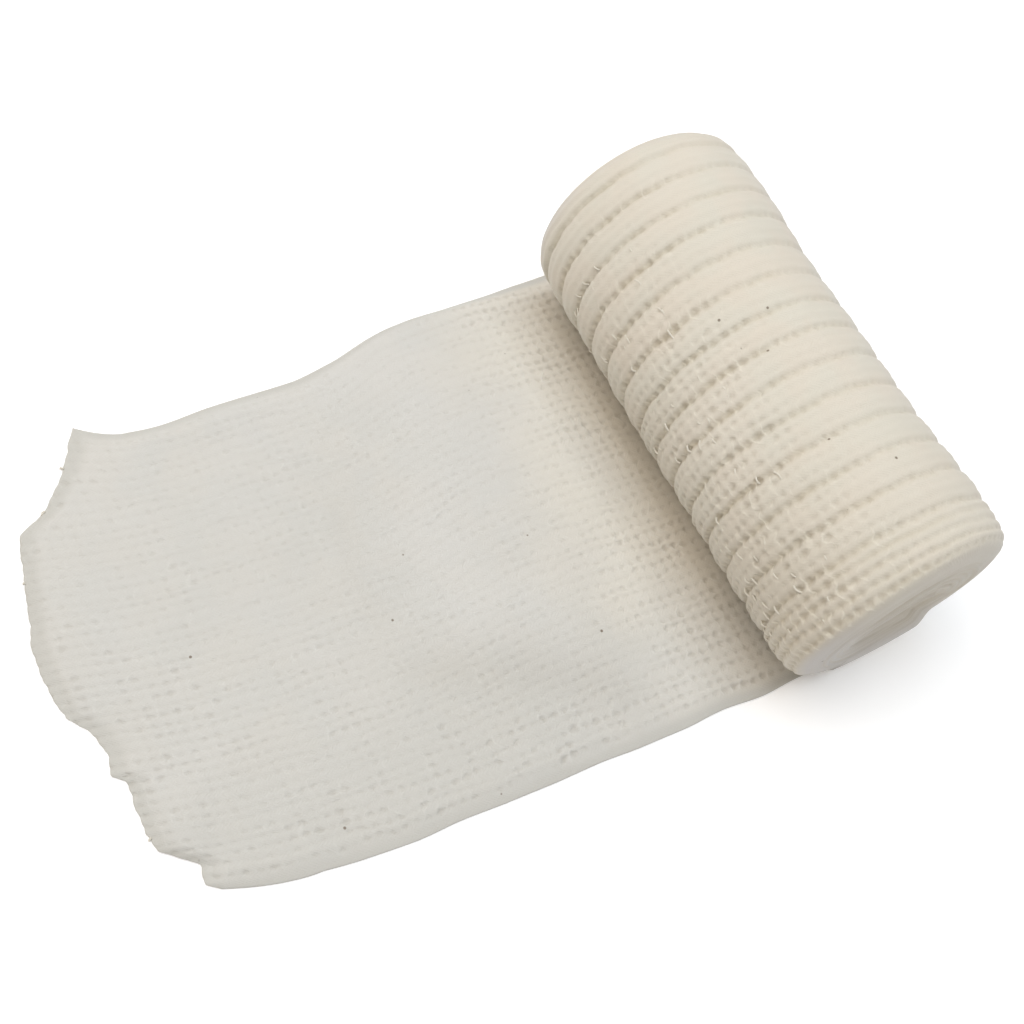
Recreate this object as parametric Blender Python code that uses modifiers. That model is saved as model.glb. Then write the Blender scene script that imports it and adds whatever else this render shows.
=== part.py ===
"""Crepe bandage roll: a strip of ribbed elastic gauze, wound up, with its loose end unrolled beside it.

The roll's axis runs along Y, and the loose end leaves the roll underneath and runs to -X. The origin is in the
middle of the small flat spot that the roll lies on, so the surface is z = 0, with +Z up. Sizes here are in
millimetres, and the meshes are made in metres. The strip is one piece of cloth, parted under the roll into the
wound form and the sheet.
"""

import math
from collections import namedtuple

import bmesh
import bpy

MM = 0.001

# The cloth
CLOTH_THICKNESS = 1.2
CLEARANCE = 0.3

# The roll: its radius over the rib crowns, half a turn from its outer edge, and how far its weight flattens it
ROLL_RADIUS = 22.8
FLAT_DEPTH = 0.5
TURN_STEP = CLOTH_THICKNESS + CLEARANCE
PARTING_ANGLE = math.radians(-12.0)
ROUND_STEPS = 60

# Ribs round the roll, counted from the groove nearest the near end
FIRST_GROOVE = -39.8
RIB_WIDTHS = (6.4, 6.5, 6.4, 6.5, 6.6, 6.4, 6.1, 6.6, 6.8, 6.5, 6.2, 6.1, 5.9)
GROOVE_DEPTH = 0.65
FLANK_DEPTH = 0.15
FLANK_WIDTH = 1.1
PRESSED_ARC = math.radians(15.0)
PRESSED_FADE = math.radians(15.0)

# How the roll swells and bows along its length: place, extra radius and shift to +X
Swell = namedtuple("Swell", "along radius shift")
SWELLS = (
    Swell(-50.0, 0.3, 0.5),
    Swell(-36.0, 0.5, 0.5),
    Swell(-20.0, 0.1, 0.1),
    Swell(18.0, 0.0, 0.2),
    Swell(30.0, 0.3, 0.6),
    Swell(40.0, 0.2, 0.6),
    Swell(49.0, -0.2, 0.3),
)

# Ends of the roll: place along the axis, how much smaller the radius is there, and how far the turns are set
# back towards the middle past the edge of the last one
Shoulder = namedtuple("Shoulder", "along drop set_back")
NEAR_SHOULDER = (
    Shoulder(-42.5, 0.05, 0.0),
    Shoulder(-45.5, 0.25, 0.2),
    Shoulder(-47.8, 0.8, 0.7),
    Shoulder(-49.3, 1.9, 1.2),
    Shoulder(-50.0, 3.6, 1.3),
)
FAR_SHOULDER = (
    Shoulder(45.0, 0.1, 0.0),
    Shoulder(46.8, 0.7, 0.0),
    Shoulder(48.2, 2.0, 0.0),
    Shoulder(48.9, 3.8, 0.0),
)
SET_BACK_START = math.radians(42.0)
SET_BACK_RISE = math.radians(14.0)
SET_BACK_END = math.radians(150.0)
SET_BACK_FADE = math.radians(90.0)

# Rings of each end face, down to its middle: share of the rim's radius, and how far the face stands past the rim
FaceRing = namedtuple("FaceRing", "share stand")
END_FACE = (
    FaceRing(0.84, 0.25),
    FaceRing(0.58, 0.10),
    FaceRing(0.30, -0.50),
    FaceRing(0.00, -0.90),
)

# The loose end's outline, seen from above
Edge = namedtuple("Edge", "x y")
SHEET_START = -5.2
NEAR_EDGE = (
    Edge(SHEET_START, -48.4),
    Edge(-37.6, -47.5),
    Edge(-58.0, -47.0),
    Edge(-78.4, -46.4),
    Edge(-94.7, -45.5),
    Edge(-108.5, -43.9),
    Edge(-121.7, -40.1),
)
FAR_EDGE = (
    Edge(SHEET_START, 49.4),
    Edge(-27.3, 49.4),
    Edge(-49.8, 48.4),
    Edge(-65.1, 45.2),
    Edge(-73.3, 44.0),
    Edge(-88.6, 43.6),
    Edge(-101.8, 43.0),
    Edge(-110.5, 43.6),
    Edge(-114.6, 47.4),
)
CUT_END = (
    Edge(-121.7, -40.1),
    Edge(-123.6, -38.6),
    Edge(-123.3, -35.0),
    Edge(-128.2, -30.7),
    Edge(-129.2, -27.3),
    Edge(-128.7, -18.0),
    Edge(-130.5, -16.4),
    Edge(-129.9, -12.6),
    Edge(-131.2, -8.0),
    Edge(-133.9, -4.4),
    Edge(-134.9, 3.8),
    Edge(-134.6, 9.4),
    Edge(-132.5, 18.1),
    Edge(-131.1, 25.7),
    Edge(-129.7, 29.8),
    Edge(-124.6, 32.6),
    Edge(-119.6, 38.7),
    Edge(-114.6, 47.4),
)
WIDEST_CELL = 4.4

# Soft folds that lift the loose end, with the turn of their length from +X in degrees
Fold = namedtuple("Fold", "x y half_length half_width turn height")
FOLDS = (
    Fold(-42.0, 22.0, 70.0, 35.0, 90.0, 3.2),
    Fold(-54.0, -20.0, 28.0, 13.0, -30.0, 1.2),
    Fold(-92.0, 41.0, 26.0, 9.0, 0.0, 0.8),
    Fold(-128.0, 8.0, 20.0, 8.0, 90.0, 0.9),
    Fold(-124.0, -30.0, 13.0, 6.0, 60.0, 0.7),
)

# Looks
SHARP_ANGLE = math.radians(50.0)
COTTON_ROUGHNESS = 0.95
ROLL_CREAM = (0.72, 0.68, 0.58, 1.0)
SHEET_CREAM = (0.69, 0.67, 0.61, 1.0)


def smooth_step(share):
    """A soft rise from 0 to 1 while the share goes from 0 to 1."""
    share = min(1.0, max(0.0, share))
    return share * share * (3.0 - 2.0 * share)


def swell_at(along):
    """The extra radius and the shift at a place along the roll, read straight between the rows of the table."""
    for low, high in zip(SWELLS, SWELLS[1:]):
        if along <= high.along:
            break
    share = (along - low.along) / (high.along - low.along)
    return low.radius + share * (high.radius - low.radius), low.shift + share * (high.shift - low.shift)


def roll_axis(along):
    """The middle of the roll's section at a place along it, its height, and the radius where the last turn ends."""
    swell, shift = swell_at(along)
    radius = ROLL_RADIUS + 0.5 * TURN_STEP + swell
    return shift, radius - FLAT_DEPTH, radius


def rib_strength(angle):
    """The share of the ribs' depth at an angle round the roll, which is none where they are pressed flat."""
    off_flat = min(abs(angle), abs(2.0 * math.pi - angle))
    return smooth_step((off_flat - PRESSED_ARC) / PRESSED_FADE)


def set_back_strength(angle):
    """The share of the set-back at an angle: a short rise past the last turn's edge, then a slow fade."""
    rise = smooth_step((angle - SET_BACK_START) / SET_BACK_RISE)
    return rise * (1.0 - smooth_step((angle - SET_BACK_END) / SET_BACK_FADE))


def roll_ring(along, rib_depth=0.0, drop=0.0, set_back=0.0):
    """One section of the wound roll, a turn of a spiral closed by the step where the loose end leaves it."""
    middle, axis_height, first_radius = roll_axis(along)
    ring = []
    for step in range(ROUND_STEPS + 1):
        share = step / ROUND_STEPS
        angle = PARTING_ANGLE + share * 2.0 * math.pi
        radius = first_radius - share * TURN_STEP - drop - rib_depth * rib_strength(angle)
        lowest = TURN_STEP if share > 0.5 else 0.0
        height = max(lowest, axis_height - radius * math.cos(angle))
        place = along + set_back * set_back_strength(angle)
        ring.append((middle + radius * math.sin(angle), place, height))
    return ring


def rib_rings():
    """The sections from the first groove to the last one."""
    rings = []
    groove = FIRST_GROOVE
    for width in RIB_WIDTHS:
        rings.append(roll_ring(groove, GROOVE_DEPTH))
        rings.append(roll_ring(groove + FLANK_WIDTH, FLANK_DEPTH))
        rings.append(roll_ring(groove + 0.5 * width))
        rings.append(roll_ring(groove + width - FLANK_WIDTH, FLANK_DEPTH))
        groove += width
    rings.append(roll_ring(groove, GROOVE_DEPTH))
    return rings


def end_rings(shoulder, outward):
    """The sections of a shoulder and of its end face, which shrink to one point in the middle."""
    rings = [roll_ring(row.along, drop=row.drop, set_back=row.set_back) for row in shoulder]
    rim = rings[-1]
    rim_place = shoulder[-1].along
    middle, axis_height, _ = roll_axis(rim_place)
    for row in END_FACE:
        place = rim_place + outward * row.stand
        share = row.share
        rings.append([
            (middle + share * (x - middle), place + share * (y - rim_place), axis_height + share * (z - axis_height))
            for x, y, z in rim
        ])
    return rings


def loft(name, rings):
    """One closed solid through rings of like points, the first and the last of which are single points."""
    shape = bmesh.new()
    loops = [[shape.verts.new((x * MM, y * MM, z * MM)) for x, y, z in ring] for ring in rings]
    for loop, next_loop in zip(loops, loops[1:]):
        for a, b, c, d in zip(loop, loop[1:] + loop[:1], next_loop[1:] + next_loop[:1], next_loop):
            shape.faces.new((a, b, c, d))
    for loop in (loops[0], loops[-1]):
        bmesh.ops.pointmerge(shape, verts=loop, merge_co=loop[0].co)
    bmesh.ops.recalc_face_normals(shape, faces=shape.faces)
    return finish_mesh(name, shape)


def finish_mesh(name, shape):
    """The object that holds a finished shape, shaded smooth but for its corners."""
    mesh = bpy.data.meshes.new(name)
    shape.to_mesh(mesh)
    shape.free()
    mesh.shade_smooth()
    mesh.set_sharp_from_angle(angle=SHARP_ANGLE)
    return bpy.data.objects.new(name, mesh)


def make_wound_roll():
    """The wound form: ribs all round, soft shoulders and slightly dished end faces."""
    near_end = end_rings(NEAR_SHOULDER, -1.0)
    far_end = end_rings(FAR_SHOULDER, 1.0)
    return loft("wound_roll", near_end[::-1] + rib_rings() + far_end)


def edge_shares(edge):
    """Shares of an edge's length that hit each of its points, none further apart than the widest cell."""
    total = sum(math.dist(first, second) for first, second in zip(edge, edge[1:]))
    shares = [0.0]
    for first, second in zip(edge, edge[1:]):
        start = shares[-1]
        length = math.dist(first, second)
        cells = math.ceil(length / WIDEST_CELL)
        shares += [start + (cell + 1) / cells * length / total for cell in range(cells)]
    return shares


def edge_point(edge, share):
    """The point at a share of an edge's length."""
    lengths = [math.dist(first, second) for first, second in zip(edge, edge[1:])]
    left = share * sum(lengths)
    for length, first, second in zip(lengths, edge, edge[1:]):
        if left <= length:
            part = left / length
            return Edge(first.x + part * (second.x - first.x), first.y + part * (second.y - first.y))
        left -= length
    return edge[-1]


def outline_point(along, across):
    """The plan place of a grid point, blended between the four edges of the loose end."""
    near = edge_point(NEAR_EDGE, along)
    far = edge_point(FAR_EDGE, along)
    start = edge_point((NEAR_EDGE[0], FAR_EDGE[0]), across)
    end = edge_point(CUT_END, across)
    corners = (NEAR_EDGE[0], FAR_EDGE[0], CUT_END[0], CUT_END[-1])
    shares = ((1 - along) * (1 - across), (1 - along) * across, along * (1 - across), along * across)
    place = []
    for axis in range(2):
        between_sides = (1 - across) * near[axis] + across * far[axis]
        between_ends = (1 - along) * start[axis] + along * end[axis]
        between_corners = sum(share * corner[axis] for share, corner in zip(shares, corners))
        place.append(between_sides + between_ends - between_corners)
    return place


def fold_lift(x, y):
    """How far the folds lift the sheet at a place."""
    lift = 0.0
    for fold in FOLDS:
        turn = math.radians(fold.turn)
        lengthways = (x - fold.x) * math.cos(turn) + (y - fold.y) * math.sin(turn)
        sideways = (y - fold.y) * math.cos(turn) - (x - fold.x) * math.sin(turn)
        off = (lengthways / fold.half_length) ** 2 + (sideways / fold.half_width) ** 2
        lift += fold.height * max(0.0, 1.0 - off) ** 2
    return lift


def make_loose_end():
    """The unrolled end of the strip, a sheet on its soft folds with its raw cut end."""
    columns = edge_shares(FAR_EDGE)
    rows = edge_shares(CUT_END)
    last_column = len(columns) - 1
    last_row = len(rows) - 1
    shape = bmesh.new()
    bmesh.ops.create_grid(shape, x_segments=last_column, y_segments=last_row, size=0.5)
    for point in shape.verts:
        along = columns[round((0.5 - point.co.x) * last_column)]
        across = rows[round((0.5 + point.co.y) * last_row)]
        x, y = outline_point(along, across)
        point.co = (x * MM, y * MM, fold_lift(x, y) * MM)
    sheet = finish_mesh("loose_end", shape)
    thickness = sheet.modifiers.new("thickness", "SOLIDIFY")
    thickness.thickness = CLOTH_THICKNESS * MM
    thickness.offset = 1.0
    return sheet


def cloth_material(name, colour):
    """Matt cotton in the given colour."""
    material = bpy.data.materials.new(name)
    material.use_nodes = True
    shader = material.node_tree.nodes["Principled BSDF"]
    shader.inputs["Base Color"].default_value = colour
    shader.inputs["Roughness"].default_value = COTTON_ROUGHNESS
    shader.inputs["Metallic"].default_value = 0.0
    return material


def main():
    for old in list(bpy.data.objects):
        bpy.data.objects.remove(old, do_unlink=True)
    parts = bpy.data.collections.new("crepe_bandage_roll")
    bpy.context.scene.collection.children.link(parts)
    roll = make_wound_roll()
    roll.data.materials.append(cloth_material("crepe_roll", ROLL_CREAM))
    sheet = make_loose_end()
    sheet.data.materials.append(cloth_material("crepe_sheet", SHEET_CREAM))
    for piece in (roll, sheet):
        parts.objects.link(piece)


if __name__ == "__main__":
    main()
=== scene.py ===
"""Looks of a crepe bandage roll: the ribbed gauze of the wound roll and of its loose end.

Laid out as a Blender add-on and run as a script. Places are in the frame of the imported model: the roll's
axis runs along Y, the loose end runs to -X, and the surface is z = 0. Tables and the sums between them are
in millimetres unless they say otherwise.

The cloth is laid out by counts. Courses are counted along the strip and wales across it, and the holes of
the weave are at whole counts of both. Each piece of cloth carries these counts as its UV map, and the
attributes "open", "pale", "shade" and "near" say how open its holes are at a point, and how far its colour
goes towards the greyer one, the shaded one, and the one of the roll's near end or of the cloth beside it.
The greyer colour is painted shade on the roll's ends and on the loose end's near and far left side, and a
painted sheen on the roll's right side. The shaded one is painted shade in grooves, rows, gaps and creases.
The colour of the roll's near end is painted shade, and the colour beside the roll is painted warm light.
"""

import math
from collections import namedtuple

import bpy
import numpy as np
from bpy.props import FloatProperty, FloatVectorProperty, IntProperty, PointerProperty
from mathutils import Matrix, Vector


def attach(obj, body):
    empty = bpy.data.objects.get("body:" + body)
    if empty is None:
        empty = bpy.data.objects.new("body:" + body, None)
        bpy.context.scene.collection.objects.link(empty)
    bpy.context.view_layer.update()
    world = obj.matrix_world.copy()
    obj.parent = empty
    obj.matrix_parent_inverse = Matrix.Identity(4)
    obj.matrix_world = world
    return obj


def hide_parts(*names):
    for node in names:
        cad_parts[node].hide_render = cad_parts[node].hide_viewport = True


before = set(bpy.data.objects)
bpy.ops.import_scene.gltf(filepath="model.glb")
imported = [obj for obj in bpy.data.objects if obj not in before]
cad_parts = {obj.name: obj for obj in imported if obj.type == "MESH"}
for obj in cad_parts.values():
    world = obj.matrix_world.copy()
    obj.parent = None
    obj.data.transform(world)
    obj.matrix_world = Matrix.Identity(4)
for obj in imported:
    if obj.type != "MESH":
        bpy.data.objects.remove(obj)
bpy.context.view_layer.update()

bl_info = {
    "name": "Crepe bandage roll",
    "version": (1, 0, 0),
    "blender": (4, 5, 0),
    "location": "3D View > Sidebar > Bandage",
    "description": "Ribbed gauze for a wound bandage and its loose end",
    "category": "Add Mesh",
}

MM = 0.001

# The wound form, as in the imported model
CLOTH_THICKNESS = 1.2
TURN_STEP = 1.5
ROLL_RADIUS = 22.8
FLAT_DEPTH = 0.5
PARTING_ANGLE = math.radians(-12.0)
GROOVE_DEPTH = 0.65
GROOVE_SHARPNESS = 2.9
PRESSED_ARC = math.radians(15.0)
PRESSED_FADE = math.radians(15.0)
SET_BACK_START = math.radians(42.0)
SET_BACK_RISE = math.radians(14.0)
SET_BACK_END = math.radians(150.0)
SET_BACK_FADE = math.radians(90.0)

# How the roll swells and bows along its length: place, extra radius and shift to +X
Swell = namedtuple("Swell", "along radius shift")
SWELLS = (
    Swell(-50.0, 0.3, 0.5),
    Swell(-36.0, 0.5, 0.5),
    Swell(-20.0, 0.1, 0.1),
    Swell(18.0, 0.0, 0.2),
    Swell(30.0, 0.3, 0.6),
    Swell(40.0, 0.2, 0.6),
    Swell(49.0, -0.2, 0.3),
)

# The roll's grooves: how many wales apart they are, the count of the last one, and their places on the axis
RIB_WALES = 3
LAST_GROOVE = 39
GROOVES = (-39.8, -33.4, -26.9, -20.5, -14.0, -7.4, -1.0, 5.1, 11.7, 18.5, 25.0, 31.2, 37.3, 43.2)

# Wales of the wound roll, which are counted from the first groove: place along the axis, how much smaller
# the radius is, and how far the turns are set back past the edge of the last one
Wale = namedtuple("Wale", "count along drop set_back")
WALES = (
    Wale(-5.0, -50.0, 3.6, 1.3),
    Wale(-4.5, -49.3, 1.9, 1.2),
    Wale(-4.0, -48.2, 0.95, 0.8),
    Wale(-3.0, -46.05, 0.32, 0.3),
    Wale(-2.0, -43.95, 0.12, 0.1),
    Wale(-1.0, -41.85, 0.03, 0.0),
    *(Wale(float(RIB_WALES * number), along, 0.0, 0.0) for number, along in enumerate(GROOVES)),
    Wale(40.0, 45.2, 0.15, 0.0),
    Wale(41.0, 47.1, 0.9, 0.0),
    Wale(41.5, 48.2, 2.0, 0.0),
    Wale(42.0, 48.9, 3.8, 0.0),
)
WALE_WIDTH = 2.15

# Each end face: share of the rim's radius, and how far the face stands past the rim
FaceRing = namedtuple("FaceRing", "share stand")
END_FACE = (
    FaceRing(0.00, -2.20),
    FaceRing(0.12, -1.70),
    FaceRing(0.32, -0.40),
    FaceRing(0.58, 0.10),
    FaceRing(0.84, 0.25),
    FaceRing(1.00, 0.00),
)
FACE_RINGS = 52

# The turns' edges on the end faces: how far they stand out, how much of that is random, and how shaded the
# gaps between them are
TURN_RELIEF = 0.22
TURN_OFFSET = 0.42
GAP_SHADE = 0.45

# How unevenly the cloth lies on the roll: how far its rows slide along and across, in courses and wales,
# and the height and number of its soft waves
ROW_SLIDE = 0.16
ROW_SWAY = 0.10
WAVE_HEIGHT = 0.18
WAVES_ROUND = 9

# The tuck of the inner turns in the near end face
Tuck = namedtuple("Tuck", "x z half_width half_height depth shade")
TUCK = Tuck(4.0, 17.0, 11.0, 9.0, 1.5, 0.5)

# How open the holes are round the roll, in its grooves and on its ribs, which sets their depth and their
# painted shade, and the shares of the grooves' depth and painted shade: angle in degrees from the bottom over
# +X
Openness = namedtuple("Openness", "angle groove rib depth shade")
ROUND_OPENNESS = (
    Openness(-12.0, 0.4, 0.2, 1.0, 0.5),
    Openness(60.0, 0.8, 0.4, 1.0, 0.5),
    Openness(125.0, 0.2, 0.05, 0.75, 0.22),
    Openness(185.0, 0.3, 0.05, 0.7, 0.3),
    Openness(205.0, 0.5, 0.16, 0.8, 0.4),
    Openness(228.0, 0.88, 0.66, 1.0, 0.54),
    Openness(300.0, 1.0, 0.9, 1.25, 0.6),
    Openness(348.0, 0.5, 0.3, 1.0, 0.5),
)

# How that changes across the strip, in wales: the shares on the ribs and in the grooves, and the power of the
# shares in the rows past the first groove. Past the first and last of the rows there are no holes
RIB_ROWS = ((3.0, 20.0, 36.0), (1.1, 0.9, 0.15))
GROOVE_ROWS = ((30.0, 36.0, 39.0), (1.0, 0.75, 0.4))
NEAR_END_ROWS = ((-3.0, -2.0, -1.0), (0.7, 1.4, 1.8))
FIRST_ROW, LAST_ROW = -4, 41
ROW_HALF_WIDTH = 0.3

# The loose end's outline, seen from above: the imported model's, but fuller at the far side beside the roll
SHEET_START = -5.2
NEAR_EDGE = (
    (-5.2, -48.4), (-37.6, -47.5), (-58.0, -47.0), (-78.4, -46.4), (-94.7, -45.5), (-108.5, -43.9),
    (-121.7, -40.1),
)
FAR_EDGE = (
    (-5.2, 52.6), (-27.3, 51.4), (-49.8, 49.8), (-65.1, 45.8), (-73.3, 44.0), (-88.6, 43.6),
    (-101.8, 43.0), (-110.5, 43.6),
)
CUT_END = (
    (-121.7, -40.1), (-123.6, -38.6), (-123.3, -35.0), (-128.2, -30.7), (-129.2, -27.3), (-128.7, -18.0),
    (-130.5, -16.4), (-129.9, -12.6), (-131.2, -8.0), (-133.9, -4.4), (-134.9, 3.8), (-134.6, 9.4),
    (-132.5, 18.1), (-131.1, 25.7), (-129.7, 29.8), (-124.6, 32.6), (-119.6, 38.7), (-114.6, 47.4),
)

# The mesh and the counts of the loose end: where its straight columns end and the ragged ones start, how many
# there are of each, its first and last wale, and the length of a course
TRIM_START = -106.0
EVEN_COLUMNS = 184
TRIM_COLUMNS = 46
FIRST_SHEET_WALE = -1.4
LAST_SHEET_WALE = 45.4
SHEET_COURSE = 2.2

# The loose end's usual width, how far its long edges wave, their share of the cloth's thickness, how far its
# rows sway in wales, and the height of its soft waves
SHEET_WIDTH = 94.0
EDGE_WAVE = 0.3
EDGE_SHARE = 0.42
SHEET_SWAY = 0.22
SHEET_WAVE_HEIGHT = 0.12

# Soft folds of the loose end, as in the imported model, with the turn of their length from +X in degrees
Fold = namedtuple("Fold", "x y half_length half_width turn height")
FOLDS = (
    Fold(-42.0, 22.0, 70.0, 35.0, 90.0, 3.2),
    Fold(-54.0, -20.0, 28.0, 13.0, -30.0, 1.2),
    Fold(-92.0, 41.0, 26.0, 9.0, 0.0, 0.8),
    Fold(-128.0, 8.0, 20.0, 8.0, 90.0, 0.9),
    Fold(-124.0, -30.0, 13.0, 6.0, 60.0, 0.7),
)

# Bands of painted shade along creases of the loose end: where each starts and ends, its bow to the side, half
# width and share
Crease = namedtuple("Crease", "x y end_x end_y bow half_width share")
CREASE_SHADES = (
    Crease(-88.0, -15.0, -34.0, -45.5, -3.0, 5.0, 1.0),
    Crease(-76.0, 22.0, -79.0, -14.0, 1.5, 3.0, 0.5),
)

# What sets the roll's cloth and the loose end's apart: the tint of their shaded rows, how strongly the
# painted shade of the holes and the painted highlight of the strands that cross them show, and the holes'
# size in courses and wales
ClothLook = namedtuple("ClothLook", "tint hole_share strand_share hole_length hole_width")
ROLL_LOOK = ClothLook((0.84, 0.79, 0.70), 0.35, 0.5, 1.15, 0.88)
SHEET_LOOK = ClothLook((0.84, 0.82, 0.79), 0.28, 0.35, 1.15, 0.8)

# Colours of the light and of the husk specks, and how strongly the studio's paper glows, its side and how far
# it lies under the surface, in metres
WHITE = (1.0, 1.0, 1.0, 1.0)
HUSK_BROWN = (0.16, 0.12, 0.08, 1.0)
FLOOR_GLOW = 0.15
FLOOR_SIDE = 1.5
FLOOR_DROP = 0.00005

# Seeds of the random choices
HOLE_SEED, PATCH_SEED, SLIDE_SEED, SWAY_SEED, WAVE_SEED, SHADE_SEED = range(11, 17)
NEAR_FACE_SEED, FAR_FACE_SEED = 21, 22
FRINGE_SEED, SHEET_HOLE_SEED, SHEET_PATCH_SEED, SHEET_SWAY_SEED, SHEET_WAVE_SEED = range(31, 36)
SHEET_SHADE_SEED, EDGE_SEED, ROLL_SIDE_SEED, NEAR_SEED = range(36, 40)
THREAD_SEED = 41

# The stray threads: the angles round the roll where loops are fewest, most and fewest again, in degrees, and
# the least and greatest lengths of loops, in wales, and of frayed ends
LOOP_ANGLES = (212.0, 262.0, 325.0)
LOOP_LENGTHS = (0.5, 1.2)
FRAY_LENGTHS = (0.4, 1.1)

# The studio's soft lights: place in metres, power in watts and colour
SoftLight = namedtuple("SoftLight", "name place power colour")
SOFT_LIGHTS = (
    SoftLight("overhead_light", (0.0, 0.0, 0.9), 4.0, (0.80, 0.90, 1.0)),
    SoftLight("left_light", (-0.45, 0.2, 0.75), 3.45, (1.0, 0.91, 0.82)),
    SoftLight("right_light", (0.7, 0.0, 0.5), 1.2, (1.0, 1.0, 1.0)),
    SoftLight("back_light", (0.0, 0.7, 0.5), 0.6, (1.0, 1.0, 1.0)),
)


def soft_step(share):
    """A soft rise from 0 to 1 while the share goes from 0 to 1."""
    share = np.clip(share, 0.0, 1.0)
    return share * share * (3.0 - 2.0 * share)


def soft_read(places, values, at):
    """Values of a table read along a smooth curve through its rows, without overshoot."""
    places = np.asarray(places, float)
    values = np.asarray(values, float)
    slopes = np.diff(values) / np.diff(places)
    before, after = slopes[:-1], slopes[1:]
    middle = np.where(before * after > 0.0, 2.0 * before * after / (before + after + 1e-30), 0.0)
    bends = np.concatenate((slopes[:1], middle, slopes[-1:]))
    row = np.clip(np.searchsorted(places, at, side="right") - 1, 0, len(places) - 2)
    step = places[row + 1] - places[row]
    part = np.clip((at - places[row]) / step, 0.0, 1.0)
    rest = 1.0 - part
    ends = values[row] * (1.0 + 2.0 * part) * rest**2 + values[row + 1] * (3.0 - 2.0 * part) * part**2
    return ends + step * (bends[row] * part * rest**2 - bends[row + 1] * part**2 * rest)


def soft_noise(seed, across, along, period=0):
    """Soft random values from -1 to 1 that change over one unit, and repeat over the period across."""
    table = np.random.default_rng(seed).uniform(-1.0, 1.0, (256, 256))
    columns = np.floor(across).astype(int)
    rows = np.floor(along).astype(int)
    part = soft_step(across - columns)
    lift = soft_step(along - rows)
    wrap = period or 256
    left, right = columns % wrap % 256, (columns + 1) % wrap % 256
    low, high = rows % 256, (rows + 1) % 256
    bottom = table[low, left] * (1.0 - part) + table[low, right] * part
    top = table[high, left] * (1.0 - part) + table[high, right] * part
    return bottom * (1.0 - lift) + top * lift


def hole_values(seed, courses, wales, period=0):
    """One random value from 0 to 1 for each hole, given at the counts nearest to it."""
    table = np.random.default_rng(seed).uniform(0.0, 1.0, (256, 256))
    columns = np.rint(courses).astype(int)
    return table[np.rint(wales).astype(int) % 256, columns % (period or 256)]


def hole_shape(courses, wales, length, width):
    """1 in the middle of each hole and 0 between them, for a hole's length and width as shares of a count."""
    off_course = (courses - np.rint(courses)) / (0.5 * length)
    off_wale = (wales - np.rint(wales)) / (0.5 * width)
    return np.exp(-(off_course**2 + off_wale**2))


def row_shade(wales):
    """1 along each row of holes, and 0 between them."""
    return np.exp(-(((wales - np.rint(wales)) / ROW_HALF_WIDTH) ** 2))


def select_only(piece):
    """Leaves one piece selected and active."""
    bpy.ops.object.select_all(action="DESELECT")
    piece.select_set(True)
    bpy.context.view_layer.objects.active = piece


def new_grid(name, columns, rows):
    """A flat grid, with the column and row of each of its points."""
    bpy.ops.object.select_all(action="DESELECT")
    bpy.ops.mesh.primitive_grid_add(x_subdivisions=columns, y_subdivisions=rows, size=1.0)
    piece = bpy.context.active_object
    piece.name = name
    piece.data.name = name
    return piece, *grid_counts(point_places(piece.data), columns, rows)


def grid_counts(places, columns, rows):
    """The column and the row of each point of a flat grid."""
    return [np.rint((places[:, axis] + 0.5) * steps).astype(int) for axis, steps in ((0, columns), (1, rows))]


def point_places(mesh):
    """The places of a mesh's points, one row each."""
    places = np.empty(len(mesh.vertices) * 3, np.float32)
    mesh.vertices.foreach_get("co", places)
    return places.reshape(-1, 3)


def place_points(mesh, x, y, z):
    """Moves a mesh's points to places given in millimetres."""
    mesh.vertices.foreach_set("co", (np.stack((x, y, z), 1) * MM).astype(np.float32).ravel())
    mesh.update()


def store_weave(mesh, courses, wales, **shares):
    """Keeps the counts as the UV map, and how open, pale, shaded and near the cloth is as attributes."""
    corners = np.empty(len(mesh.loops), np.int32)
    mesh.loops.foreach_get("vertex_index", corners)
    counts = np.stack((courses[corners], wales[corners]), 1).astype(np.float32)
    mesh.uv_layers.active.name = "weave"
    mesh.uv_layers.active.data.foreach_set("uv", counts.ravel())
    for name, values in shares.items():
        attribute = mesh.attributes.new(name, "FLOAT", "POINT")
        attribute.data.foreach_set("value", values.astype(np.float32))


# The wound roll


def swell_at(name, along):
    """A column of the table of swells, read at places along the axis."""
    return np.interp(along, [row.along for row in SWELLS], [getattr(row, name) for row in SWELLS])


def wale_at(name, wales):
    """A column of the table of wales, read along a smooth curve at counts across the strip."""
    return soft_read([row.count for row in WALES], [getattr(row, name) for row in WALES], wales)


def round_at(name, angle):
    """A column of the table of openness, read at angles round the roll."""
    angles = [row.angle for row in ROUND_OPENNESS]
    return np.interp(np.degrees(angle), angles, [getattr(row, name) for row in ROUND_OPENNESS])


def rib_strength(angle):
    """The share of the ribs' depth at an angle round the roll, which is none where they are pressed flat."""
    off_flat = np.minimum(np.abs(angle), np.abs(2.0 * math.pi - angle))
    return soft_step((off_flat - PRESSED_ARC) / PRESSED_FADE)


def set_back_strength(angle):
    """The share of the set-back at an angle: a short rise past the last turn's edge, then a slow fade."""
    rise = soft_step((angle - SET_BACK_START) / SET_BACK_RISE)
    return rise * (1.0 - soft_step((angle - SET_BACK_END) / SET_BACK_FADE))


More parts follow.
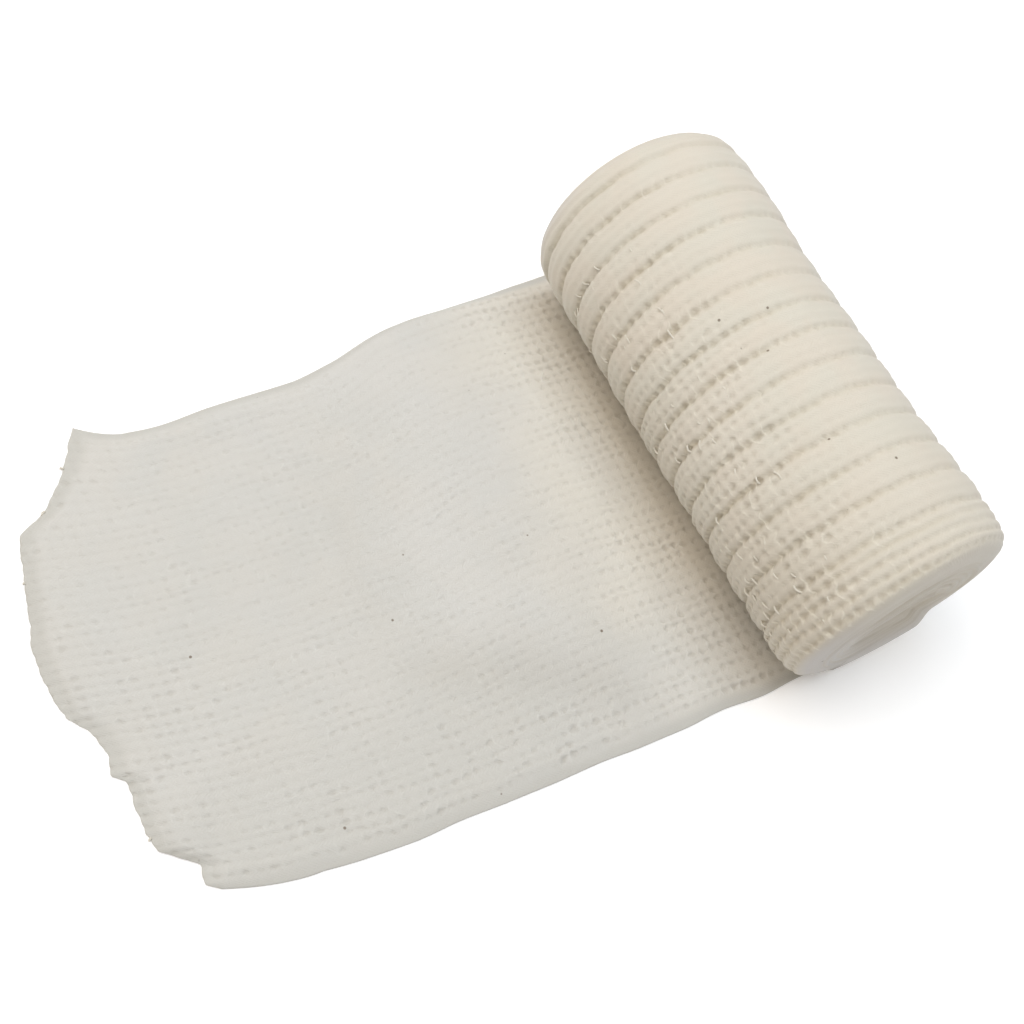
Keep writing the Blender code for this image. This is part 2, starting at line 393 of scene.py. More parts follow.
def roll_openness(courses, wales, angle):
    """How open each hole is: by its place round the roll, by its row and at random."""
    row = np.rint(wales)
    on_rib = round_at("rib", angle) * np.interp(row, *RIB_ROWS)
    in_groove = round_at("groove", angle) * np.interp(row, *GROOVE_ROWS)
    near_end = in_groove ** np.interp(row, *NEAR_END_ROWS)
    in_row = np.where(row % RIB_WALES == 0, in_groove, on_rib)
    in_row = np.where(row < 0, near_end, in_row)
    in_row = np.where(row > LAST_GROOVE, 0.5 * on_rib, in_row)
    pick = hole_values(HOLE_SEED, courses, wales)
    chance = np.where((row % RIB_WALES == 0) | (row < 0), 0.6 + 0.55 * pick, 0.3 + 0.85 * pick)
    patch = 1.0 + 0.35 * soft_noise(PATCH_SEED, courses / 4.0, wales / 3.0)
    return np.where((row >= FIRST_ROW) & (row <= LAST_ROW), in_row * chance * patch, 0.0)


def roll_point(courses, wales, sink):
    """Places on the wound roll at the given counts, sunk below its crowns."""
    share = courses / bpy.context.scene.bandage_weave.courses_round
    angle = PARTING_ANGLE + share * 2.0 * math.pi
    along = wale_at("along", wales)
    first_radius = ROLL_RADIUS + 0.5 * TURN_STEP + swell_at("radius", along)
    radius = first_radius - share * TURN_STEP - wale_at("drop", wales) - sink
    lowest = np.where(share > 0.5, TURN_STEP, 0.0)
    height = np.maximum(lowest, first_radius - FLAT_DEPTH - radius * np.cos(angle))
    set_back = wale_at("set_back", wales) * set_back_strength(angle)
    return swell_at("shift", along) + radius * np.sin(angle), along + set_back, height


def roll_sink(courses, wales, openness, angle):
    """How far the cloth sinks between ribs, between wales and in the holes."""
    weave = bpy.context.scene.bandage_weave
    off_groove = np.minimum(wales % RIB_WALES, RIB_WALES - wales % RIB_WALES) / (0.5 * RIB_WALES)
    off_groove = np.where(wales < 0.0, -wales, np.where(wales > LAST_GROOVE, wales - LAST_GROOVE, off_groove))
    groove = GROOVE_DEPTH * round_at("depth", angle) * np.clip(1.0 - off_groove, 0.0, 1.0) ** GROOVE_SHARPNESS
    between = (0.5 + 0.5 * np.cos(2.0 * math.pi * wales)) ** 2
    smooth_edge = soft_step((wales + 4.6) / 0.6) * soft_step((41.6 - wales) / 0.6)
    plain_ends = np.where((wales < -0.5) | (wales > LAST_GROOVE + 0.5), 2.0, 1.0)
    dip = weave.wale_dip / MM * between * plain_ends * smooth_edge
    hole = weave.hole_depth / MM * openness * hole_shape(courses, wales, weave.hole_length, weave.hole_width)
    return (groove + dip + hole) * (0.25 + 0.75 * rib_strength(angle))


def turn_relief(distance, angle, rim_radius, seed):
    """How far each wound turn's edge stands out of an end face, and how shaded the gaps between turns are."""
    outer = rim_radius - TURN_STEP * (angle - PARTING_ANGLE) / (2.0 * math.pi)
    turns = (outer - distance) / TURN_STEP
    unwound = np.floor(turns) + (angle - PARTING_ANGLE) / (2.0 * math.pi)
    ridge = 0.5 - 0.5 * np.cos(2.0 * math.pi * turns)
    offset = soft_noise(seed, unwound * 5.0, np.zeros_like(unwound)) * TURN_OFFSET
    fade = soft_step((rim_radius - TURN_STEP - distance) / 5.0) * soft_step(distance / 3.0)
    return (TURN_RELIEF + offset) * ridge * fade, (1.0 - ridge) ** 3 * fade


def near_end_tuck(x, z):
    """1 in the middle of the tuck of the near end face, and 0 away from it."""
    off_tuck = ((x - TUCK.x) / TUCK.half_width) ** 2 + ((z - TUCK.z) / TUCK.half_height) ** 2
    return np.exp(-(off_tuck**2))


def roll_paleness(wales, angle, x, z):
    """Greyness of the roll: painted shade on its ends, less high up on the right where light falls, and a
    painted sheen on its right side.
    """
    degrees = np.degrees(angle)
    ends = np.maximum(soft_step((-4.1 - wales) / 0.9), soft_step((wales - 39.4) / 2.4))
    ends = ends * (1.0 - 0.85 * soft_step((z + 0.5 * x - 10.0) / 24.0))
    right_side = soft_step((152.0 - degrees) / 24.0) * soft_step((degrees - 40.0) / 40.0)
    return np.maximum(ends, 0.3 * right_side)


def roll_shading(courses, wales, angle):
    """How shaded the roll is: in its grooves, and in the rows past the first one."""
    groove_row = (np.rint(wales) % RIB_WALES == 0) | (wales < -0.5)
    groove_row = groove_row & (wales > -4.4) & (wales < LAST_GROOVE + 0.5)
    shading = np.where(groove_row, row_shade(wales), 0.0)
    return shading * round_at("shade", angle) * (0.7 + 0.55 * soft_noise(SHADE_SEED, courses / 1.5, wales))


def near_end_share(angle, y):
    """How far the roll's colour goes to the painted shade of its near end, which is strongest low on the
    left.
    """
    low = 0.3 + 0.7 * soft_step((np.degrees(angle) - 205.0) / 50.0)
    return low * soft_step((-12.0 - y) / 30.0)


def make_roll_cloth():
    """The closed skin of the wound roll: ribs, wales and holes round it, and the turns' edges on its ends."""
    weave = bpy.context.scene.bandage_weave
    round_steps = weave.courses_round * weave.course_samples
    first_wale, last_wale = WALES[0].count, WALES[-1].count
    barrel = round((last_wale - first_wale) * weave.wale_samples)
    piece, columns, rows = new_grid("roll_cloth", round_steps + 1, barrel + 2 * FACE_RINGS)
    seam = columns > round_steps
    counts = columns / weave.course_samples
    courses = np.where(seam, 0.0, counts)
    ring = np.clip(rows - FACE_RINGS, 0, barrel)
    wales = first_wale + ring / weave.wale_samples
    angle = PARTING_ANGLE + courses / weave.courses_round * 2.0 * math.pi
    openness = roll_openness(courses, wales, angle)
    inside = soft_step((wales + 4.4) / 0.8) * soft_step((41.4 - wales) / 0.8)
    slide = ROW_SLIDE * inside * soft_noise(SLIDE_SEED, courses, wales, weave.courses_round)
    sway = ROW_SWAY * inside * soft_noise(SWAY_SEED, courses, wales, weave.courses_round)
    sink = roll_sink(courses, wales, openness, angle)
    waves = courses / weave.courses_round * WAVES_ROUND
    sink -= WAVE_HEIGHT * inside * soft_noise(WAVE_SEED, waves, wales / 6.0, WAVES_ROUND)
    held = np.clip(courses + slide, 0.0, weave.courses_round)
    held = np.where((courses == 0.0) | (courses == weave.courses_round), courses, held)
    x, y, z = roll_point(held, wales + sway, sink)
    beyond = np.maximum(FACE_RINGS - rows, rows - FACE_RINGS - barrel)
    share = 1.0 - np.clip(beyond, 0, FACE_RINGS) / FACE_RINGS
    gaps = np.zeros_like(share)
    for outward, rim, seed in ((-1.0, WALES[0], NEAR_FACE_SEED), (1.0, WALES[-1], FAR_FACE_SEED)):
        face = (share < 1.0) & ((rows < FACE_RINGS) == (outward < 0.0))
        centre_x = swell_at("shift", rim.along)
        swell = swell_at("radius", rim.along)
        rim_radius = ROLL_RADIUS + 0.5 * TURN_STEP + swell - rim.drop
        centre_z = ROLL_RADIUS + 0.5 * TURN_STEP + swell - FLAT_DEPTH
        reach = np.maximum(np.hypot(x - centre_x, z - centre_z), 1.0)
        stepped = soft_step((share - 0.86) / 0.14)
        scale = share * (stepped + (1.0 - stepped) * (rim_radius - TURN_STEP) / reach)
        distance = reach * scale
        stand = soft_read([row.share for row in END_FACE], [row.stand for row in END_FACE], share)
        relief, between = turn_relief(distance, angle, rim_radius, seed)
        stand = stand + relief
        gaps = np.where(face, GAP_SHADE * between, gaps)
        x = np.where(face, centre_x + scale * (x - centre_x), x)
        z = np.where(face, centre_z + scale * (z - centre_z), z)
        if outward < 0.0:
            tuck = near_end_tuck(x, z)
            stand = stand - TUCK.depth * tuck
            gaps = np.where(face, np.maximum(gaps, TUCK.shade * tuck), gaps)
        y = np.where(face, rim.along + outward * stand + share * (y - rim.along), y)
        wales = np.where(face, rim.count + outward * (1.0 - share) * rim_radius / WALE_WIDTH, wales)
    openness = np.where(share < 1.0, 0.0, openness)
    place_points(piece.data, x, y, z)
    paleness = roll_paleness(wales, angle, x, z)
    shading = np.where(share < 1.0, gaps, roll_shading(courses, wales, angle))
    near = near_end_share(angle, y)
    store_weave(piece.data, counts, wales, open=openness, pale=paleness, shade=shading, near=near)
    close_seams(piece)
    return piece


def close_seams(piece):
    """Joins the points of a skin that lie on each other and turns its faces outwards."""
    select_only(piece)
    bpy.ops.object.mode_set(mode="EDIT")
    bpy.ops.mesh.select_all(action="SELECT")
    bpy.ops.mesh.remove_doubles(threshold=1e-6)
    bpy.ops.mesh.normals_make_consistent(inside=False)
    bpy.ops.object.mode_set(mode="OBJECT")
    bpy.ops.object.shade_smooth()


# The loose end


def sheet_plan(even, trim, wales):
    """Plan places on the loose end, and the distances to its cut end and to the nearest edge beside it.

    even goes from 0 to 1 as far as the straight columns go, and trim from there to the ragged end.
    """
    across = (wales - FIRST_SHEET_WALE) / (LAST_SHEET_WALE - FIRST_SHEET_WALE)
    near_x, near_y = np.array(NEAR_EDGE[::-1]).T
    far_x, far_y = np.array(FAR_EDGE[::-1]).T
    cut_x, cut_y = np.array(CUT_END).T
    end_y = cut_y[0] + across * (cut_y[-1] - cut_y[0])
    fringe = 0.2 * soft_noise(FRINGE_SEED, wales, np.zeros_like(wales))
    fringe = 0.12 * np.abs(np.sin(math.pi * wales)) + fringe
    fringe = fringe * soft_step(across / 0.04) * soft_step((1.0 - across) / 0.04)
    end_x = np.interp(end_y, cut_y, cut_x) - fringe
    straight = SHEET_START + even * (TRIM_START - SHEET_START)
    x = straight + trim * (end_x - straight)
    y = (1.0 - across) * soft_read(near_x, near_y, straight) + across * soft_read(far_x, far_y, straight)
    at_edge = np.abs(2.0 * across - 1.0) ** 12 * (1.0 - trim)
    y = y + EDGE_WAVE * at_edge * soft_noise(EDGE_SEED, straight / 9.0, across)
    y = y + trim**1.6 * (end_y - y)
    beside = np.minimum(across, 1.0 - across) * SHEET_WIDTH
    return x, y, x - end_x, beside


def fold_lift(x, y):
    """How far the folds lift the loose end at a place."""
    lift = np.zeros_like(x)
    for fold in FOLDS:
        turn = math.radians(fold.turn)
        lengthways = (x - fold.x) * math.cos(turn) + (y - fold.y) * math.sin(turn)
        sideways = (y - fold.y) * math.cos(turn) - (x - fold.x) * math.sin(turn)
        off = (lengthways / fold.half_length) ** 2 + (sideways / fold.half_width) ** 2
        lift = lift + fold.height * np.clip(1.0 - off, 0.0, None) ** 2
    return lift


def crease_shade(x, y):
    """1 in the middle of each band of painted crease shade on the loose end, and 0 away from them."""
    shade = np.zeros_like(x)
    for crease in CREASE_SHADES:
        length = math.hypot(crease.end_x - crease.x, crease.end_y - crease.y)
        unit_x, unit_y = (crease.end_x - crease.x) / length, (crease.end_y - crease.y) / length
        along = ((x - crease.x) * unit_x + (y - crease.y) * unit_y) / length
        off = (y - crease.y) * unit_x - (x - crease.x) * unit_y + crease.bow * 4.0 * along * (1.0 - along)
        ends = soft_step(along / 0.25) * soft_step((1.0 - along) / 0.25)
        shade = np.maximum(shade, crease.share * ends * np.exp(-((off / crease.half_width) ** 2)))
    return shade


def sheet_openness(courses, wales, x, y):
    """How open each hole of the loose end is: by its place and at random."""
    near_roll = soft_step((x + 44.0 + 5.0 * soft_noise(ROLL_SIDE_SEED, courses / 6.0, wales / 4.0)) / 22.0)
    near_edge = soft_step((-26.0 - y) / 14.0)
    near_cut = soft_step((-102.0 - x) / 16.0)
    low = soft_step((4.0 - y) / 20.0)
    place = 0.32 + 0.1 * low + 0.4 * np.maximum(near_roll, np.maximum(0.7 * near_edge, 0.4 * near_cut))
    patch = 0.85 + 0.35 * soft_noise(SHEET_PATCH_SEED, courses / 4.0, wales / 3.5)
    row = np.rint(wales)
    inside = (row >= 0) & (row <= 44)
    pick = hole_values(SHEET_HOLE_SEED, courses, wales)
    chance = near_roll * (0.55 + 0.6 * pick) + (1.0 - near_roll) * (0.2 + 1.0 * pick**1.2)
    return np.where(inside, place * patch * chance, 0.0)


def sheet_paleness(x, y, to_cut, beside):
    """How grey the loose end is: along its edges, and as painted shade a little at its near and its far left
    side.
    """
    edges = np.maximum(soft_step((2.6 - beside) / 2.0), soft_step((4.0 - to_cut) / 3.0))
    near_side = 0.6 * soft_step((-8.0 - y) / 26.0) * soft_step((-34.0 - x) / 30.0)
    left_side = 0.28 * soft_step((46.0 - y) / 30.0) * soft_step((-60.0 - x) / 16.0)
    return np.maximum(np.maximum(edges, near_side), left_side)


def beside_roll_share(x, y):
    """How far the loose end's colour goes to the painted warm light beside the roll, which fades to both ends
    of the roll.
    """
    near = soft_step((x + 54.0 + 6.0 * soft_noise(NEAR_SEED, x / 12.0, y / 12.0)) / 38.0)
    return near * (1.0 - 0.15 * soft_step((y - 14.0) / 20.0)) * (1.0 - 0.6 * soft_step((-16.0 - y) / 22.0))


def make_loose_end_cloth():
    """The unrolled end: a sheet on its folds, with wales, holes, soft selvedges and a ragged cut end."""
    weave = bpy.context.scene.bandage_weave
    edge_steps = (0.0, 0.08, 0.2, 0.4)
    first, last = FIRST_SHEET_WALE, LAST_SHEET_WALE
    inner = np.arange(round((last - first - 1.2) * weave.wale_samples) + 1) / weave.wale_samples + first + 0.6
    row_wales = np.concatenate((first + np.array(edge_steps), inner, last - np.array(edge_steps[::-1])))
    trims = np.concatenate((np.linspace(0.0, 0.98, TRIM_COLUMNS - 1), (0.992, 1.0)))
    last_column = EVEN_COLUMNS + TRIM_COLUMNS
    last_row = len(row_wales) - 1
    piece, _, _ = new_grid("loose_end_cloth", last_column, last_row)
    select_only(piece)
    wall = piece.modifiers.new("thickness", "SOLIDIFY")
    wall.thickness = 1.0
    wall.offset = 1.0
    bpy.ops.object.modifier_apply(modifier=wall.name)
    places = point_places(piece.data)
    columns, rows = grid_counts(places, last_column, last_row)
    wales = row_wales[rows]
    top = places[:, 2] > 0.5
    even = np.clip(columns / EVEN_COLUMNS, 0.0, 1.0)
    trim = trims[np.clip(columns - EVEN_COLUMNS, 0, TRIM_COLUMNS)]
    across = (wales - first) / (last - first)
    inside = soft_step(across / 0.03) * soft_step((1.0 - across) / 0.03) * (1.0 - trim)
    sway = SHEET_SWAY * inside * soft_noise(SHEET_SWAY_SEED, 30.0 * even, wales)
    x, y, to_cut, beside = sheet_plan(even, trim, wales + sway)
    counts = (SHEET_START - x) / SHEET_COURSE
    openness = sheet_openness(counts, wales, x, y)
    wave = SHEET_WAVE_HEIGHT * (1.0 + soft_noise(SHEET_WAVE_SEED, x / 9.0, y / 9.0))
    lift = fold_lift(x, y) + wave * inside
    edge = np.minimum(to_cut, beside)
    lift = lift * soft_step((edge + 1.0) / 3.0)
    round_off = np.sqrt(np.clip(1.0 - (1.0 - np.clip(edge / 0.8, 0.0, 1.0)) ** 2, 0.06, 1.0))
    between = (0.5 + 0.5 * np.cos(2.0 * math.pi * wales)) ** 2 * soft_step(beside / 3.0)
    holes = openness * hole_shape(counts, wales, weave.hole_length, 0.9 * weave.hole_width)
    sink = 0.35 * weave.wale_dip / MM * between + 0.67 * weave.hole_depth / MM * holes
    thickness = CLOTH_THICKNESS * (EDGE_SHARE + (1.0 - EDGE_SHARE) * soft_step(edge / 4.0))
    middle = (0.5 - 0.14 * (1.0 - soft_step(edge / 4.0))) * thickness
    half = 0.5 * thickness * round_off
    z = lift + middle + np.where(top, half - sink, -np.minimum(half, middle))
    paleness = sheet_paleness(x, y, to_cut, beside)
    place_points(piece.data, x, y, z)
    shading = 0.06 * row_shade(wales) * (1.0 + soft_noise(SHEET_SHADE_SEED, counts / 3.0, wales))
    shading = np.maximum(shading, 0.35 * crease_shade(x, y))
    near = beside_roll_share(x, y)
    openness = np.where(top, openness, 0.4 * openness)
    store_weave(piece.data, counts, wales, open=openness, pale=paleness, shade=shading, near=near)
    close_seams(piece)
    return piece


# Stray threads


def make_stray_threads():
    """Thin pulled loops on the roll and frayed ends along the cut."""
    weave = bpy.context.scene.bandage_weave
    chance = np.random.default_rng(THREAD_SEED)
    paths = []
    for _ in range(weave.pulled_loops):
        degrees = chance.triangular(*LOOP_ANGLES)
        course = (math.radians(degrees) - PARTING_ANGLE) / (2.0 * math.pi) * weave.courses_round
        wale = 38.0 * chance.random() ** 1.4 - 3.5
        length = chance.uniform(*LOOP_LENGTHS)
        lean = chance.uniform(-0.25, 0.45)
        bend = chance.uniform(-0.25, 0.25)
        steps = np.linspace(-0.5, 0.5, 7)
        off_course = steps * length * lean + bend * (1.0 - 4.0 * steps**2)
        sink = 0.58 - 0.37 * (1.0 - (2.0 * steps) ** 2)
        x, y, z = roll_point(course + off_course, wale + steps * length, sink)
        paths.append(np.stack((x, y, z), 1))
    for _ in range(weave.frayed_ends):
        across = chance.uniform(0.02, 0.98)
        wale = FIRST_SHEET_WALE + across * (LAST_SHEET_WALE - FIRST_SHEET_WALE)
        end_x, end_y, _, _ = sheet_plan(np.ones(1), np.ones(1), np.array([wale]))
        steps = np.linspace(0.0, 1.0, 6)
        length = chance.uniform(*FRAY_LENGTHS)
        swing = chance.uniform(-0.7, 0.7)
        x = end_x - (steps - 0.35) * length
        y = end_y + swing * steps**2 * length
        z = 0.42 - 0.12 * steps
        paths.append(np.stack((x, y, z), 1))
    curve = bpy.data.curves.new("stray_threads", "CURVE")
    curve.dimensions = "3D"
    curve.bevel_depth = weave.thread_radius
    curve.bevel_resolution = 0
    curve.resolution_u = 1
    curve.use_fill_caps = True
    for path in paths:
        spline = curve.splines.new("POLY")
        spline.points.add(len(path) - 1)
        for point, place in zip(spline.points, path):
            point.co = (*(place * MM), 1.0)
    piece = bpy.data.objects.new("stray_threads", curve)
    bpy.context.scene.collection.objects.link(piece)
    select_only(piece)
    bpy.ops.object.convert(target="MESH")
    piece = bpy.context.active_object
    bpy.ops.object.shade_smooth()
    return piece


# Materials


def set_inputs(node, values):
    """Gives a node its input values, each a plain one or another node's output."""
    for name, value in values.items():
        if hasattr(value, "is_output"):
            node.id_data.links.new(value, node.inputs[name])
        else:
            node.inputs[name].default_value = value


def add_node(tree, kind, values=None, **settings):
    """A shader node with its settings and its input values."""
    node = tree.nodes.new(kind)
    for name, value in settings.items():
        setattr(node, name, value)
    set_inputs(node, values or {})
    return node


def sum_up(tree, operation, first, second=0.0, third=0.0):
    """The result of one sum between values of the shader tree."""
    return add_node(tree, "ShaderNodeMath", {0: first, 1: second, 2: third}, operation=operation).outputs[0]


def soft_range(tree, value, low, high):
    """A soft rise from 0 to 1 while a value of the shader tree goes from low to high."""
    values = {"Value": value, "From Min": low, "From Max": high}
    return add_node(tree, "ShaderNodeMapRange", values, interpolation_type="SMOOTHSTEP").outputs["Result"]


def noise_node(tree, place, scale, detail, dimensions="3D"):
    """A noise texture of the shader tree."""
    values = {"Vector": place, "Scale": scale, "Detail": detail}
    return add_node(tree, "ShaderNodeTexNoise", values, noise_dimensions=dimensions)


def blend_colour(tree, share, first, second, kind="MIX"):
    """Two colours of the shader tree, blended."""
    values = {0: share, 6: first, 7: second}
    return add_node(tree, "ShaderNodeMix", values, data_type="RGBA", blend_type=kind).outputs[2]


def new_group(name, inputs, outputs):
    """An empty shader node group with named sockets, and its input and output nodes."""
    group = bpy.data.node_groups.new(name, "ShaderNodeTree")
    for socket, kind, value in inputs:
        made = group.interface.new_socket(socket, in_out="INPUT", socket_type=kind)
        if value is not None:
            made.default_value = value
    for socket, kind in outputs:
        group.interface.new_socket(socket, in_out="OUTPUT", socket_type=kind)
    return group, group.nodes.new("NodeGroupInput"), group.nodes.new("NodeGroupOutput")


def make_hole_group():
    """The holes of the weave: a mask of each hole, from the counts and from how open it is."""
    inputs = (
        ("Counts", "NodeSocketVector", None),
        ("Open", "NodeSocketFloat", 1.0),
        ("Length", "NodeSocketFloat", 1.15),
        ("Width", "NodeSocketFloat", 0.88),
        ("Unevenness", "NodeSocketFloat", 0.4),
    )
    group, given, result = new_group("weave_holes", inputs, (("Hole", "NodeSocketFloat"),))
    counts = given.outputs["Counts"]
    wobble = noise_node(group, counts, 1.9, 1.0, "2D").outputs["Color"]
    centred = add_node(group, "ShaderNodeVectorMath", {0: wobble, 1: (0.5, 0.5, 0.5)}, operation="SUBTRACT")
    scaled = add_node(group, "ShaderNodeVectorMath", {0: centred.outputs[0]}, operation="SCALE")
    group.links.new(given.outputs["Unevenness"], scaled.inputs["Scale"])
    moved = add_node(group, "ShaderNodeVectorMath", {0: counts, 1: scaled.outputs[0]}, operation="ADD")
    parts = add_node(group, "ShaderNodeSeparateXYZ", {0: moved.outputs[0]})
    off_hole = []
    for axis, size in (("X", "Length"), ("Y", "Width")):
        off_middle = sum_up(group, "PINGPONG", parts.outputs[axis], 0.5)
        off_hole.append(sum_up(group, "DIVIDE", off_middle, given.outputs[size]))
    off_course, off_wale = off_hole
    slant = sum_up(group, "ADD", off_course, off_wale)
    square = sum_up(group, "MULTIPLY", off_wale, off_wale)
    square = sum_up(group, "MULTIPLY_ADD", off_course, off_course, square)
    distance = sum_up(group, "MULTIPLY_ADD", slant, 0.9, sum_up(group, "SQRT", square))
    reach = sum_up(group, "MULTIPLY_ADD", given.outputs["Open"], 0.5, 0.6)
    share = sum_up(group, "DIVIDE", distance, reach)
    inside = sum_up(group, "SUBTRACT", 1.0, soft_range(group, share, 0.0, 1.1))
    mask = sum_up(group, "MULTIPLY", inside, sum_up(group, "MINIMUM", given.outputs["Open"], 1.0))
    group.links.new(mask, result.inputs["Hole"])
    return group


def make_strand_group():
    """The pale strands that cross the wales between the holes, uneven and here and there missing."""
    inputs = (("Counts", "NodeSocketVector", None), ("Open", "NodeSocketFloat", 1.0))
    group, given, result = new_group("cross_strands", inputs, (("Strand", "NodeSocketFloat"),))
    counts = given.outputs["Counts"]
    wobble = noise_node(group, counts, 1.1, 1.0, "2D").outputs["Fac"]
    parts = add_node(group, "ShaderNodeSeparateXYZ", {0: counts})
    lean = sum_up(group, "MULTIPLY_ADD", sum_up(group, "PINGPONG", parts.outputs["Y"], 1.0), 0.45, wobble)
    off_strand = sum_up(group, "PINGPONG", sum_up(group, "ADD", parts.outputs["X"], lean), 0.5)
    line = sum_up(group, "SUBTRACT", 1.0, soft_range(group, off_strand, 0.0, 0.2))
    gaps = noise_node(group, counts, 0.75, 1.0, "2D").outputs["Fac"]
    most = sum_up(group, "MINIMUM", given.outputs["Open"], 1.0)
    kept = sum_up(group, "MULTIPLY", soft_range(group, gaps, 0.42, 0.58), most)
    group.links.new(sum_up(group, "MULTIPLY", line, kept), result.inputs["Strand"])
    return group


def make_yarn_group():
    """The yarn of the cloth: chevrons of the stitches along each wale, with the hair of the cotton."""
    inputs = (("Counts", "NodeSocketVector", None),)
    outputs = (("Height", "NodeSocketFloat"), ("Tone", "NodeSocketFloat"))
    group, given, result = new_group("cotton_yarn", inputs, outputs)
    parts = add_node(group, "ShaderNodeSeparateXYZ", {0: given.outputs["Counts"]})
    off_cord = sum_up(group, "PINGPONG", sum_up(group, "ADD", parts.outputs["Y"], 0.5), 0.5)
    hair = noise_node(group, given.outputs["Counts"], 9.0, 3.0, "2D").outputs["Fac"]
    lean = sum_up(group, "MULTIPLY_ADD", off_cord, 1.3, sum_up(group, "MULTIPLY", hair, 0.35))
    turns = sum_up(group, "MULTIPLY", sum_up(group, "ADD", parts.outputs["X"], lean), 2.0 * math.pi * 3.0)
    strand = sum_up(group, "MULTIPLY_ADD", sum_up(group, "SINE", turns), 0.5, 0.5)
    height = sum_up(group, "MULTIPLY", strand, 0.3)
    height = sum_up(group, "ADD", height, sum_up(group, "MULTIPLY", hair, 0.5))
    group.links.new(height, result.inputs["Height"])
    group.links.new(sum_up(group, "MULTIPLY_ADD", strand, 0.5, 0.25), result.inputs["Tone"])
    return group


def make_speck_group():
    """Sparse specks of seed husk in the cotton: a mask that is 1 on each."""
    inputs = (("Place", "NodeSocketVector", None), ("Share", "NodeSocketFloat", 0.89))
    group, given, result = new_group("husk_specks", inputs, (("Speck", "NodeSocketFloat"),))
    cells = add_node(group, "ShaderNodeTexVoronoi", {"Vector": given.outputs["Place"], "Scale": 260.0})
    near = sum_up(group, "SUBTRACT", 1.0, soft_range(group, cells.outputs["Distance"], 0.05, 0.09))
    pick = add_node(group, "ShaderNodeSeparateColor", {0: cells.outputs["Color"]}).outputs[0]
    chosen = sum_up(group, "GREATER_THAN", pick, given.outputs["Share"])
    group.links.new(sum_up(group, "MULTIPLY", near, chosen), result.inputs["Speck"])
    return group


def place_group(tree, name, values):
    """A node group placed in a material with its own values, and built the first time it is asked for."""
    node = tree.nodes.new("ShaderNodeGroup")
    node.node_tree = bpy.data.node_groups.get(name) or GROUP_MAKERS[name]()
    set_inputs(node, values)
    return node


GROUP_MAKERS = {
    "weave_holes": make_hole_group,
    "cross_strands": make_strand_group,
    "cotton_yarn": make_yarn_group,
    "husk_specks": make_speck_group,
}


def new_material(name):
    """An empty material: itself, its node tree, its shader and the place on the piece."""
    material = bpy.data.materials.new(name)
    material.use_nodes = True
    tree = material.node_tree
    place = add_node(tree, "ShaderNodeTexCoord").outputs["Object"]
    return material, tree, tree.nodes["Principled BSDF"], place


def point_value(tree, name):
    """One of the values that each point of the cloth carries."""
    return add_node(tree, "ShaderNodeAttribute", attribute_name=name).outputs["Fac"]


